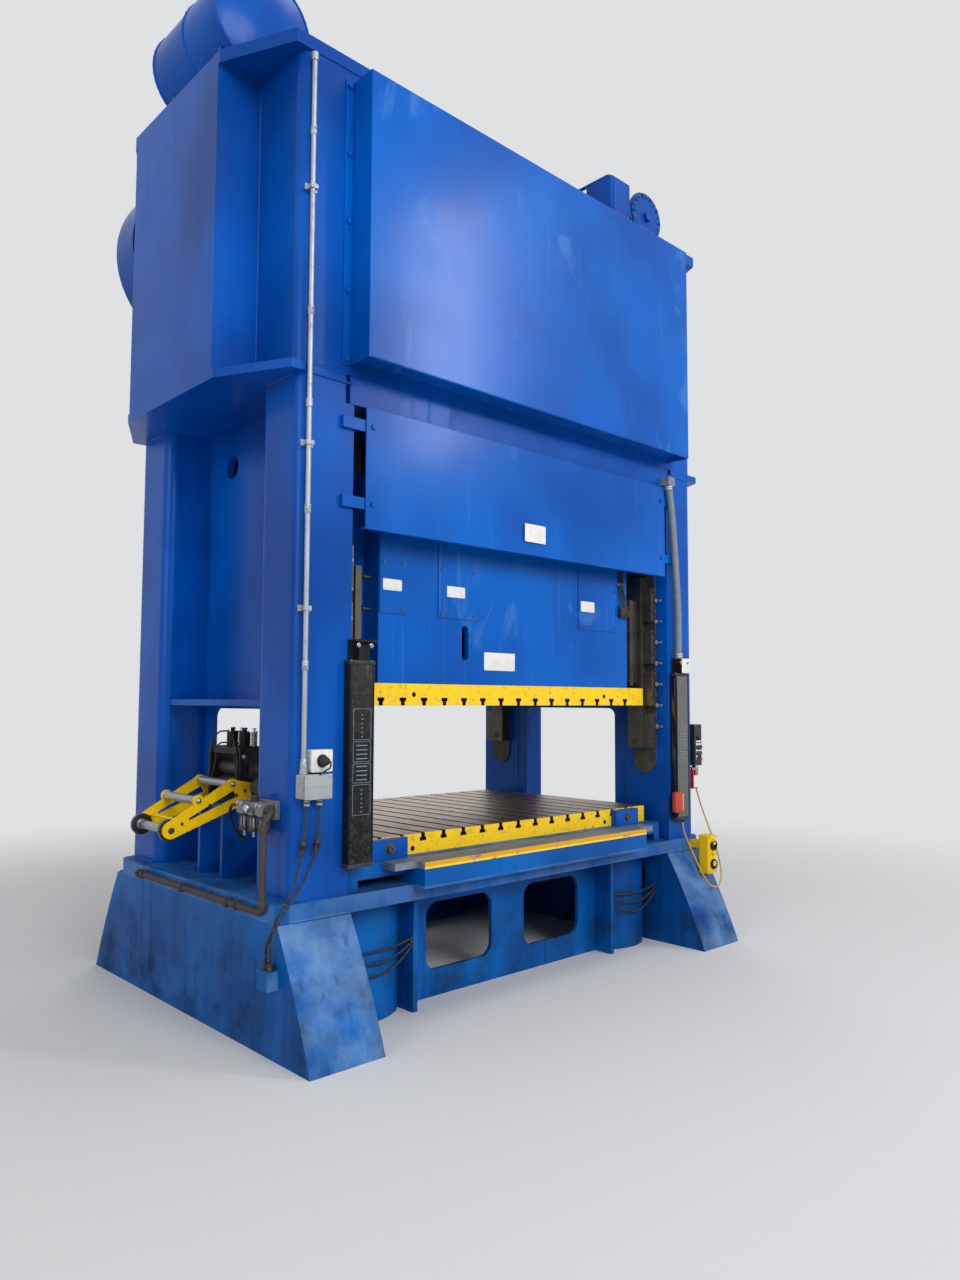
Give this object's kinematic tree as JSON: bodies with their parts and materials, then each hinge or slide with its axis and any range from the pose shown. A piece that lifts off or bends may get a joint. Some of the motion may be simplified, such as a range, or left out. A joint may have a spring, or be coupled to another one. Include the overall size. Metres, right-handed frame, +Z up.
{
  "type": "double crank press",
  "caption": "Straight-sided double crank mechanical press with a slide between gibs, a slotted bolster on a heavy bed, a geared crown and a strip feeder at the side window.",
  "frame": {"origin": "on the floor under the middle of the die space, which is the middle of the whole press", "axes": "+X to the right along the front of the press, +Y from the front to the back, +Z up"},
  "size_m": [3.972, 2.462, 5.695],
  "materials": {
    "press_blue": "gloss enamel",
    "bed_blue": "worn gloss enamel",
    "safety_yellow": "worn gloss enamel",
    "bolster_steel": "oily and worn",
    "dark_steel": "oily",
    "machined_steel": "machined",
    "gear_iron": "greased",
    "bush_bronze": "machined",
    "worn_ledge": "worn to the metal",
    "black_paint": "satin",
    "galvanised": "dull",
    "grey_box": "satin",
    "white_plastic": "satin",
    "belt_rubber": "matt",
    "marker_orange": "gloss",
    "control_black": "matt",
    "lock_red": "gloss",
    "bowl_clear": "clear",
    "knob_plastic": "matt",
    "yellow_cord": "matt",
    "black_cord": "matt"
  },
  "bodies": {
    "frame": {"bed": "bed_blue", "bed_ledge": "worn_ledge", "bolster": "bolster_steel", "bolster_clamps": "press_blue", "right_upright": "press_blue", "left_upright": "press_blue", "crown": "press_blue", "tie_rods": "machined_steel", "tie_rod_nuts": "dark_steel", "gear_cover": "press_blue", "slide_guard": "press_blue", "shaft_bushes": "bush_bronze", "main_motor": "press_blue", "drive_belts": "belt_rubber", "flywheel_guard": "press_blue", "gib_rails": "dark_steel", "balance_cylinders": "machined_steel", "surge_tank": "press_blue", "pump_drum": "press_blue", "pump_box": "press_blue", "light_curtains": "black_paint", "left_conduit": "galvanised", "junction_box": "grey_box", "outlet": "white_plastic", "right_conduit": "galvanised", "marker_strip": "marker_orange", "control_unit": "control_black", "lock_block": "lock_red", "hand_box": "safety_yellow", "air_unit": "galvanised", "air_bowls": "bowl_clear", "air_pipe": "galvanised", "feeder_stand": "press_blue", "feeder_frame": "black_paint", "feeder_arms": "safety_yellow", "loop_cord": "yellow_cord", "left_box_cord": "black_cord", "right_box_cord": "black_cord"},
    "left_crank": {"left_crankshaft": "machined_steel", "left_main_gear": "gear_iron"},
    "right_crank": {"right_crankshaft": "machined_steel", "right_main_gear": "gear_iron"},
    "left_rod": {"left_connecting_rod": "gear_iron"},
    "right_rod": {"right_connecting_rod": "gear_iron"},
    "drive": {"drive_shaft": "machined_steel", "clutch": "gear_iron"},
    "flywheel_body": {"flywheel": "gear_iron"},
    "motor_rotor": {"motor_pulley": "gear_iron"},
    "screws": {"adjusting_screws": "machined_steel"},
    "slide": {"slide_body": "press_blue", "slide_plate": "safety_yellow", "slide_covers": "press_blue", "slide_bars": "dark_steel", "balance_rods": "machined_steel"},
    "low_feed": {"lower_feed_roll": "dark_steel"},
    "high_feed": {"upper_feed_roll": "dark_steel"},
    "low_roller": {"low_support_roller": "machined_steel"},
    "mid_roller": {"mid_support_roller": "machined_steel"},
    "top_roller": {"top_support_roller": "machined_steel"},
    "knob": {"air_knob": "knob_plastic"}
  },
  "joints": [
    {"name": "left_crank_turn", "type": "hinge", "parent": "frame", "child": "left_crank", "pos_m": [-0.61, 0, 4.168], "axis": [0, 1, 0], "range_deg": [0, 180]},
    {"name": "right_crank_turn", "type": "hinge", "parent": "frame", "child": "right_crank", "pos_m": [0.61, 0, 4.168], "axis": [0, 1, 0], "range_deg": [-180, 0]},
    {"name": "left_rod_turn", "type": "hinge", "parent": "left_crank", "child": "left_rod", "pos_m": [-0.61, 0, 4.295], "axis": [0, 1, 0], "range_deg": [-180, 0]},
    {"name": "right_rod_turn", "type": "hinge", "parent": "right_crank", "child": "right_rod", "pos_m": [0.61, 0, 4.295], "axis": [0, 1, 0], "range_deg": [0, 180]},
    {"name": "drive_turn", "type": "hinge", "parent": "frame", "child": "drive", "pos_m": [-1.19985, 0, 4.66295], "axis": [0, 1, 0], "range_deg": [-690, 0]},
    {"name": "slide_stroke", "type": "slide", "parent": "frame", "child": "screws", "axis": [0, 0, 1], "range_m": [-0.2541, 0]},
    {"name": "slide_adjust", "type": "slide", "parent": "screws", "child": "slide", "axis": [0, 0, 1], "range_m": [-0.05, 0.05]},
    {"name": "flywheel_spin", "type": "hinge", "parent": "frame", "child": "flywheel_body", "pos_m": [-1.19985, 1.04, 4.66295], "axis": [0, 1, 0], "continuous": true},
    {"name": "motor_spin", "type": "hinge", "parent": "frame", "child": "motor_rotor", "pos_m": [-0.33, 1.04, 5.329], "axis": [0, 1, 0], "continuous": true},
    {"name": "low_feed_spin", "type": "hinge", "parent": "frame", "child": "low_feed", "pos_m": [-1.478, 0, 1.206], "axis": [0, 1, 0], "continuous": true},
    {"name": "high_feed_spin", "type": "hinge", "parent": "frame", "child": "high_feed", "pos_m": [-1.478, 0, 1.298], "axis": [0, 1, 0], "continuous": true},
    {"name": "low_roller_spin", "type": "hinge", "parent": "frame", "child": "low_roller", "pos_m": [-1.96, 0, 1.007], "axis": [0, 1, 0], "continuous": true},
    {"name": "mid_roller_spin", "type": "hinge", "parent": "frame", "child": "mid_roller", "pos_m": [-1.812, 0, 1.15], "axis": [0, 1, 0], "continuous": true},
    {"name": "top_roller_spin", "type": "hinge", "parent": "frame", "child": "top_roller", "pos_m": [-1.615, 0, 1.225], "axis": [0, 1, 0], "continuous": true},
    {"name": "knob_turn", "type": "hinge", "parent": "frame", "child": "knob", "pos_m": [-1.745, -0.66, 1.19], "axis": [0, 0, 1], "range_deg": [-150, 150]}
  ],
  "couplings": [
    {"joint": "right_crank_turn", "follows": "left_crank_turn", "ratio": -1},
    {"joint": "left_rod_turn", "follows": "left_crank_turn", "ratio": -1},
    {"joint": "right_rod_turn", "follows": "left_crank_turn", "ratio": 1},
    {"joint": "drive_turn", "follows": "left_crank_turn", "ratio": -3.8125},
    {"joint": "slide_stroke", "follows": "left_crank_turn", "m_per_rad": -0.080851},
    {"joint": "motor_spin", "follows": "flywheel_spin", "ratio": 4.1538},
    {"joint": "high_feed_spin", "follows": "low_feed_spin", "ratio": -1}
  ]
}
